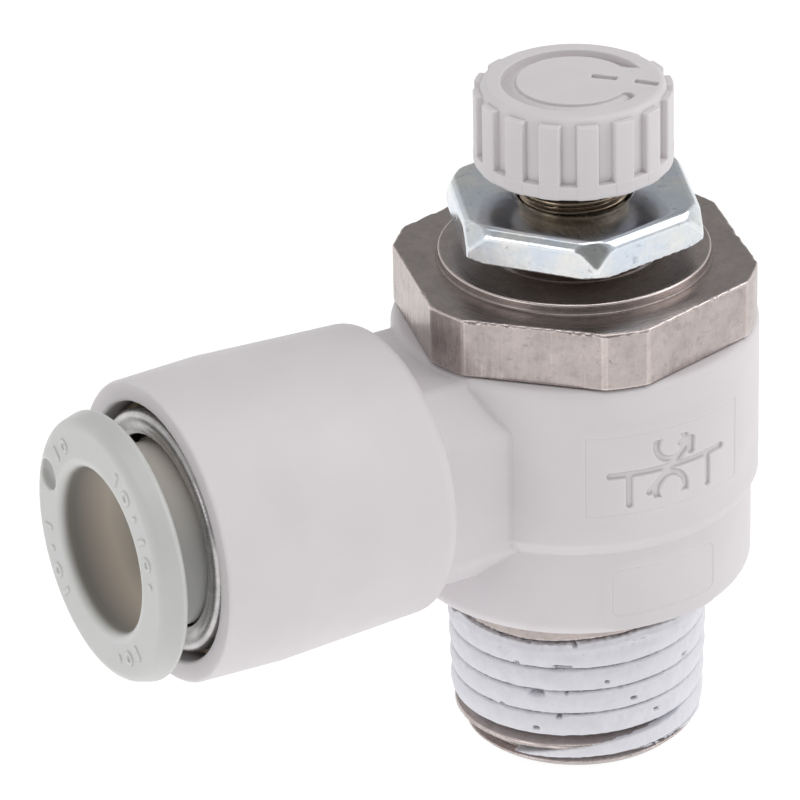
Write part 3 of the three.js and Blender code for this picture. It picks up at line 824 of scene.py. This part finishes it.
def resin(name, colour, rough=0.46, glow=0.08, grain=0.5, bore_painted_shading=None):
    """Moulded resin: faint flow clouds, fine spark texture, a little light inside, and painted shade in inner
    corners.
    The bore colours, for the button, are painted shade at the bore's entry and painted light deep in it."""
    material, tree, shader = new_material(name)
    where = place(tree)
    clouds = noise(tree, where, 0.25, 2.0)
    specks = noise(tree, where, 9.0, 2.0)
    tone = mix(tree, span(tree, clouds, 0.35, 0.65, 0, 1), shade(colour, 0.98), shade(colour, 1.015))
    dust = span(tree, noise(tree, where, 3.1, 4.0), 0.70, 0.76, 0, 0.10)
    tone = mix(tree, dust, tone, (0.30, 0.28, 0.26, 1))
    tone = mix(tree, calc(tree, "MULTIPLY", edge_wear(tree), 0.10), tone, (0.9, 0.9, 0.9, 1))
    # Painted shade: inner corners darkened.
    tone = mix(tree, calc(tree, "MULTIPLY", corner_shade(tree, 0.1, 0.8), 0.35), tone, (0.36, 0.32, 0.30, 1))
    # Painted shade at the bore's entry, painted light deeper in.
    if bore_painted_shading:
        tone = paint_bore_shading(tree, where, tone, *bore_painted_shading)
    tree.links.new(tone, shader.inputs["Base Color"])
    tree.links.new(span(tree, specks, 0.3, 0.7, rough - 0.05, rough + 0.07), shader.inputs["Roughness"])
    shader.inputs["Subsurface Weight"].default_value = glow
    shader.inputs["Subsurface Radius"].default_value = (0.9, 0.8, 0.7)
    shader.inputs["Subsurface Scale"].default_value = MM
    shader.inputs["Specular IOR Level"].default_value = 0.45
    bump(tree, shader, specks, grain, 0.006)
    return material


def metal(name, colour, rough, wear=0.4, grain_per_mm=6.0, grain_depth=0.004):
    """Plated or bare metal: fine machining grain, tarnish clouds, pits and bright edges."""
    material, tree, shader = new_material(name)
    where = place(tree)
    grain = noise(tree, where, grain_per_mm, 4.0, 0.7)
    clouds = noise(tree, where, 0.9, 4.0, 0.6)
    pits = span(tree, noise(tree, where, 5.5, 3.0), 0.66, 0.72, 0, 1)
    tone = mix(tree, span(tree, clouds, 0.38, 0.62, 0, 1), shade(colour, 0.78), shade(colour))
    tone = mix(tree, calc(tree, "MULTIPLY", pits, 0.45), tone, shade(colour, 0.35))
    tone = mix(tree, calc(tree, "MULTIPLY", edge_wear(tree), wear), tone, shade(colour, 1.45))
    tree.links.new(tone, shader.inputs["Base Color"])
    shader.inputs["Metallic"].default_value = 1.0
    base = span(tree, grain, 0.3, 0.7, rough * 0.75, rough * 1.3)
    worn = calc(tree, "ADD", base, calc(tree, "MULTIPLY", pits, 0.2))
    tree.links.new(worn, shader.inputs["Roughness"])
    height = calc(tree, "SUBTRACT", grain, calc(tree, "MULTIPLY", pits, 0.8))
    bump(tree, shader, height, 0.8, grain_depth)
    return material


def tool_grain(tree, where, level):
    """Tool rings on the turned faces, and upright streaks on the hexagon's sides."""
    x, y, z = node(tree, "SeparateXYZ", Vector=where).outputs
    radius = from_zero(tree, x, y)
    wobble = calc(tree, "MULTIPLY", noise(tree, where, 0.8, 2.0), 0.25)
    ring_place = node(tree, "CombineXYZ", X=calc(tree, "ADD", radius, wobble), Y=z).outputs[0]
    rings = noise(tree, ring_place, 7.0, 5.0, 0.75)
    streaks = noise(tree, place(tree, (1, 1, 0.12)), 5.0, 5.0, 0.8)
    turned = calc(tree, "MAXIMUM", level, span(tree, radius, 7.3, 7.5, 1, 0))
    return calc(tree, "ADD", calc(tree, "MULTIPLY", rings, turned),
                calc(tree, "MULTIPLY", streaks, calc(tree, "SUBTRACT", 1.0, turned)))


def wear_marks(tree, where):
    """Scratches, pits and faint blotches, as one amount from 0 to 1."""
    bent = node(tree, "TexNoise", Vector=where, Scale=0.35, Detail=2.0).outputs["Color"]
    warped = mix(tree, 0.5, where, bent)
    slanted = node(tree, "Mapping", Vector=warped, Scale=(1.0, 1.0, 4.5), Rotation=(0.5, 0.35, 0))
    scratches = span(tree, noise(tree, slanted.outputs[0], 1.3, 6.0, 0.8), 0.60, 0.66, 0, 1)
    pits = span(tree, noise(tree, where, 4.2, 3.0), 0.67, 0.72, 0, 1)
    blotches = span(tree, noise(tree, where, 2.0, 6.0, 0.75), 0.50, 0.64, 0, 0.30)
    marks = calc(tree, "MAXIMUM", calc(tree, "MULTIPLY", scratches, 0.45), calc(tree, "MULTIPLY", pits, 0.7))
    return calc(tree, "MAXIMUM", marks, blotches)


def turned_nickel(name, colour):
    """Nickel on turned brass, scratched and pitted, with painted shade on its level faces and in inner corners."""
    material, tree, shader = new_material(name)
    where = place(tree)
    normal = node(tree, "NewGeometry").outputs["Normal"]
    up = calc(tree, "ABSOLUTE", node(tree, "SeparateXYZ", Vector=normal).outputs[2])
    level = span(tree, up, 0.5, 0.9, 0, 1)
    grain = tool_grain(tree, where, level)
    marks = wear_marks(tree, where)
    clouds = noise(tree, where, 0.7, 4.0, 0.65)
    tone = mix(tree, span(tree, clouds, 0.35, 0.65, 0, 1), shade(colour, 0.82), shade(colour))
    tone = mix(tree, marks, tone, shade(colour, 0.38))
    tone = mix(tree, span(tree, grain, 0.35, 0.65, 0.14, 0.0), tone, shade(colour, 0.45))
    # Painted shade: level faces darkened, since their reflections came out too bright.
    tone = mix(tree, calc(tree, "MULTIPLY", level, 0.30), tone, shade(colour, 0.40))
    tone = mix(tree, calc(tree, "MULTIPLY", edge_wear(tree), 0.6), tone, shade(colour, 1.5))
    # Painted shade: inner corners darkened almost to black.
    tone = mix(tree, calc(tree, "MULTIPLY", corner_shade(tree, 0.2, 0.9), 0.7), tone, (0.10, 0.08, 0.07, 1))
    tree.links.new(tone, shader.inputs["Base Color"])
    shader.inputs["Metallic"].default_value = 1.0
    tree.links.new(span(tree, grain, 0.3, 0.7, 0.20, 0.40), shader.inputs["Roughness"])
    height = calc(tree, "SUBTRACT", grain, calc(tree, "MULTIPLY", marks, 0.6))
    bump(tree, shader, height, 0.6, 0.009)
    return material


def zinc_plate(name):
    """Bright zinc: blue-white with faint yellow clouds and fine scratches."""
    material, tree, shader = new_material(name)
    where = place(tree)
    clouds = noise(tree, where, 0.45, 3.0)
    colour = mix(tree, span(tree, clouds, 0.4, 0.6, 0, 1), (0.66, 0.71, 0.775, 1), (0.77, 0.77, 0.75, 1))
    mottle = span(tree, noise(tree, where, 2.6, 4.0, 0.7), 0.35, 0.65, 0.22, 0)
    colour = mix(tree, mottle, colour, (0.42, 0.50, 0.58, 1))
    stains = span(tree, noise(tree, where, 1.6, 5.0, 0.7), 0.60, 0.70, 0, 0.55)
    colour = mix(tree, stains, colour, (0.30, 0.34, 0.38, 1))
    colour = mix(tree, calc(tree, "MULTIPLY", edge_wear(tree), 0.5), colour, (0.92, 0.95, 1, 1))
    tree.links.new(colour, shader.inputs["Base Color"])
    shader.inputs["Metallic"].default_value = 1.0
    scuffs = noise(tree, place(tree, (1, 0.25, 1)), 4.0, 5.0, 0.7)
    tree.links.new(span(tree, scuffs, 0.3, 0.7, 0.10, 0.26), shader.inputs["Roughness"])
    bump(tree, shader, calc(tree, "ADD", scuffs, calc(tree, "MULTIPLY", clouds, 1.5)), 0.5, 0.010)
    return material


def sealant_coat(name):
    """Baked-on white sealant: chalky, with small pores and painted shade in its hollows."""
    material, tree, shader = new_material(name)
    where = place(tree)
    pores = span(tree, noise(tree, where, 2.2, 3.0), 0.76, 0.80, 0, 1)
    chalk = noise(tree, where, 1.1, 4.0, 0.6)
    tone = mix(tree, span(tree, chalk, 0.35, 0.65, 0, 1), (0.72, 0.72, 0.77, 1), (0.77, 0.77, 0.815, 1))
    tone = mix(tree, calc(tree, "MULTIPLY", pores, 0.35), tone, (0.45, 0.46, 0.48, 1))
    crumbs = span(tree, noise(tree, where, 4.5, 4.0, 0.7), 0.40, 0.62, 0.25, 1.0)
    # Painted shade in the hollows, broken up by crumb noise.
    hollow_shade = calc(tree, "MULTIPLY", corner_shade(tree, 0.12, 0.7), calc(tree, "MULTIPLY", crumbs, 0.8))
    tone = mix(tree, hollow_shade, tone, (0.17, 0.16, 0.16, 1))
    tone = mix(tree, calc(tree, "MULTIPLY", edge_wear(tree), 0.2), tone, (0.96, 0.96, 0.97, 1))
    tree.links.new(tone, shader.inputs["Base Color"])
    tree.links.new(span(tree, chalk, 0.3, 0.7, 0.50, 0.68), shader.inputs["Roughness"])
    grain = calc(tree, "SUBTRACT", noise(tree, where, 7.0, 4.0), pores)
    bump(tree, shader, grain, 0.7, 0.02)
    return material


def rubber(name, colour):
    """Moulded rubber or nylon for the hidden seals."""
    material, tree, shader = new_material(name)
    where = place(tree)
    bloom = noise(tree, where, 1.2, 4.0)
    light = shade(colour, 1.6, 0.01)
    tone = mix(tree, span(tree, bloom, 0.4, 0.7, 0, 1), shade(colour), light)
    tone = mix(tree, calc(tree, "MULTIPLY", edge_wear(tree), 0.3), tone, light)
    tree.links.new(tone, shader.inputs["Base Color"])
    tree.links.new(span(tree, bloom, 0.3, 0.7, 0.45, 0.70), shader.inputs["Roughness"])
    bump(tree, shader, noise(tree, where, 8.0, 2.0), 0.4, 0.01)
    return material


BORE_ENTRY_X = -27.2
BUTTON_COLOUR = (0.565, 0.57, 0.56)
# Painted shade at the bore's entry and painted light deep inside it, as base colours of the button's bore.
BORE_PAINTED_SHADING = ((0.30, 0.285, 0.26), (0.88, 0.81, 0.73))

finishes = {
    "body_resin": resin("body_resin", (0.70, 0.667, 0.683)),
    "knob_resin": resin("knob_resin", (0.69, 0.66, 0.675)),
    "button_resin": resin("button_resin", BUTTON_COLOUR, 0.34, 0.35, 0.3, BORE_PAINTED_SHADING),
    "nickel": turned_nickel("turned_nickel", (0.535, 0.47, 0.45)),
    "needle_metal": metal("needle_nickel", (0.30, 0.24, 0.18), 0.22),
    "zinc": zinc_plate("zinc_plate"),
    "brass": metal("turned_brass", (0.13, 0.10, 0.06), 0.45),
    "stainless": metal("satin_stainless", (0.62, 0.60, 0.60), 0.30, 0.1, 12.0, 0.0025),
    "sealant": sealant_coat("thread_sealant_coat"),
    "rubber": rubber("nitrile_rubber", (0.02, 0.02, 0.021)),
    "nylon": rubber("natural_nylon", (0.72, 0.70, 0.63)),
}


# ---- pieces ----------------------------------------------------------------------
def piece(made, node_name, slot_name, look=None):
    """Stands made in for a CAD node: its body, its material slot, and its finish, from look or the slot."""
    body = next(b for b, members in frame["record"]["behaviour"]["bodies"].items() if node_name in members)
    made.data.materials.append(finishes[look or slot_name])
    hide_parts(node_name)
    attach(made, body)


# Boxes that hold the pieces whose CAD node is larger than they are, or which have none.
STEM_BOX = (-7.0, -7.0, 0.0), (7.0, 7.0, 23.5)
FLANGE_BOX = (-9.3, -9.3, FLANGE_BOTTOM), tuple(body_high)
SEALANT_BOX = (-6.9, -6.9, 0.5), (6.9, 6.9, 8.4)
PANEL_BOX = (-6.0, -BARREL_R, 9.6), (6.0, -5.5, 21.8)


def build_pieces():
    """Each visible outer piece, with its grid cell in mm."""
    piece(surface("elbow", elbow_field, *node_box("elbow_body"), 0.14), "elbow_body", "body_resin")
    piece(surface("threaded_stem", stem_field, *STEM_BOX, 0.11), "metal_body", "nickel")
    piece(surface("hex_flange", flange_field, *FLANGE_BOX, 0.09), "metal_body", "nickel")
    piece(surface("sealant_coating", sealant_field, *SEALANT_BOX, 0.09), "thread_sealant", "sealant")
    needle = surface("threaded_needle", needle_field, *node_box("needle"), 0.08)
    piece(needle, "needle", "nickel", "needle_metal")
    piece(surface("hex_lock_nut", nut_field, *node_box("lock_nut"), 0.08), "lock_nut", "zinc")
    piece(surface("adjusting_knob", knob_field, *node_box("knob"), 0.08), "knob", "knob_resin")
    panels = surface("label_panels", panel_field, *PANEL_BOX, 0.07)
    panels.data.materials.append(finishes["body_resin"])
    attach(panels, "elbow")
    button = surface("push_button", button_field, *node_box("release_button"), 0.10)
    piece(button, "release_button", "button_resin")
    ring = surface("rolled_stopper_ring", stopper_field, *node_box("stopper_ring"), 0.07)
    piece(ring, "stopper_ring", "stainless")


def finish_cad_nodes():
    """The inner pieces keep their CAD shape and get a finish from their record slot."""
    slots = {part["node"]: part["material_slot"] for part in frame["record"]["subparts"]}
    for name, cad in frame["nodes"].items():
        cad.data.materials.clear()
        cad.data.materials.append(finishes[slots[name]])


# ---- studio ----------------------------------------------------------------------
# The camera's place is in mm, its lens too; lights are in metres and watts.
CAMERA_AT = (-149.92, -247.00, 169.38)
CAMERA_YAW, CAMERA_PITCH, CAMERA_ROLL = 29.492, -27.591, -1.199
LENS, SENSOR_WIDTH = 288.97, 36
LIGHT_DISTANCE, LIGHT_TARGET_Z = 0.60, 0.018
WALL_FRONT, WALL_BEHIND = (-0.52, -0.85), (0.44, 0.77, 0.46)
WALL_LOW, WALL_HIGH, WALL_FRONT_SHARE, WALL_BEHIND_SHARE = 0.80, 0.45, 0.35, 0.60
FLOOR_GLOW = 0.92


def add_camera():
    """The photograph's view; yaw is turned from +Y towards +X."""
    yaw, pitch, roll = (math.radians(a) for a in (CAMERA_YAW, CAMERA_PITCH, CAMERA_ROLL))
    forward = np.array([math.sin(yaw) * math.cos(pitch), math.cos(yaw) * math.cos(pitch), math.sin(pitch)])
    level = np.cross(forward, [0, 0, 1])
    level /= np.linalg.norm(level)
    above = np.cross(level, forward)
    right = math.cos(roll) * level + math.sin(roll) * above
    up = -math.sin(roll) * level + math.cos(roll) * above
    data = bpy.data.cameras.new("camera")
    data.sensor_width = SENSOR_WIDTH
    data.lens = LENS
    data.clip_start, data.clip_end = 0.01, 20
    camera = bpy.data.objects.new("camera", data)
    rows = [[*axes, at * MM] for *axes, at in zip(right, up, -forward, CAMERA_AT)]
    camera.matrix_world = Matrix(rows + [[0, 0, 0, 1]])
    bpy.context.scene.collection.objects.link(camera)
    bpy.context.scene.camera = camera


def area_light(name, azimuth, elevation, size, power):
    """A softbox that faces the valve; azimuth is measured from +X, in degrees, and sizes are in metres."""
    a, e = math.radians(azimuth), math.radians(elevation)
    data = bpy.data.lights.new(name, "AREA")
    data.shape = "RECTANGLE"
    data.size, data.size_y = size
    data.energy = power
    light = bpy.data.objects.new(name, data)
    out = np.array([math.cos(e) * math.cos(a), math.cos(e) * math.sin(a), math.sin(e)])
    light.location = out * LIGHT_DISTANCE + np.array([0, 0, LIGHT_TARGET_Z])
    light.rotation_euler = (math.pi / 2 - e, 0, a + math.pi / 2)
    bpy.context.scene.collection.objects.link(light)


def add_world():
    """Pale walls with a darker one behind the valve and one in front, as metal faces show them."""
    world = bpy.data.worlds.new("studio")
    bpy.context.scene.world = world
    world.use_nodes = True
    tree = world.node_tree
    parts = node(tree, "SeparateXYZ", Vector=node(tree, "TexCoord").outputs["Generated"]).outputs
    wall = span(tree, parts[2], 0.30, 0.90, WALL_LOW, WALL_HIGH)
    front = span(tree, reach_along(tree, parts, WALL_FRONT), 0.35, 0.85, 1.0, WALL_FRONT_SHARE)
    back = span(tree, reach_along(tree, parts, WALL_BEHIND), 0.75, 0.93, 1.0, WALL_BEHIND_SHARE)
    tone = calc(tree, "MULTIPLY", wall, calc(tree, "MULTIPLY", front, back))
    grey = node(tree, "CombineXYZ", X=tone, Y=tone, Z=tone).outputs[0]
    tree.links.new(grey, tree.nodes["Background"].inputs["Color"])


def add_floor():
    """A pale floor that glows, as on a light table."""
    bpy.ops.mesh.primitive_plane_add(size=6, location=(0, 0, -0.0002))
    floor = bpy.context.object
    floor.name = "floor"
    material, tree, shader = new_material("floor_white")
    where = place(tree)
    tone = mix(tree, noise(tree, where, 0.01, 2.0), (0.19, 0.19, 0.19, 1), (0.21, 0.21, 0.21, 1))
    tree.links.new(tone, shader.inputs["Base Color"])
    shader.inputs["Roughness"].default_value = 0.9
    shader.inputs["Specular IOR Level"].default_value = 0.1
    shader.inputs["Emission Color"].default_value = (1, 1, 1, 1)
    shader.inputs["Emission Strength"].default_value = FLOOR_GLOW
    floor.data.materials.append(material)


add_camera()
build_pieces()
finish_cad_nodes()
add_world()
add_floor()
area_light("key_right", -30, 40, (0.42, 0.38), 1.0)
area_light("top", -100, 80, (0.45, 0.45), 0.9)
area_light("side_left", -170, 14, (0.24, 0.24), 0.35)
bpy.context.scene.view_settings.view_transform = "Standard"
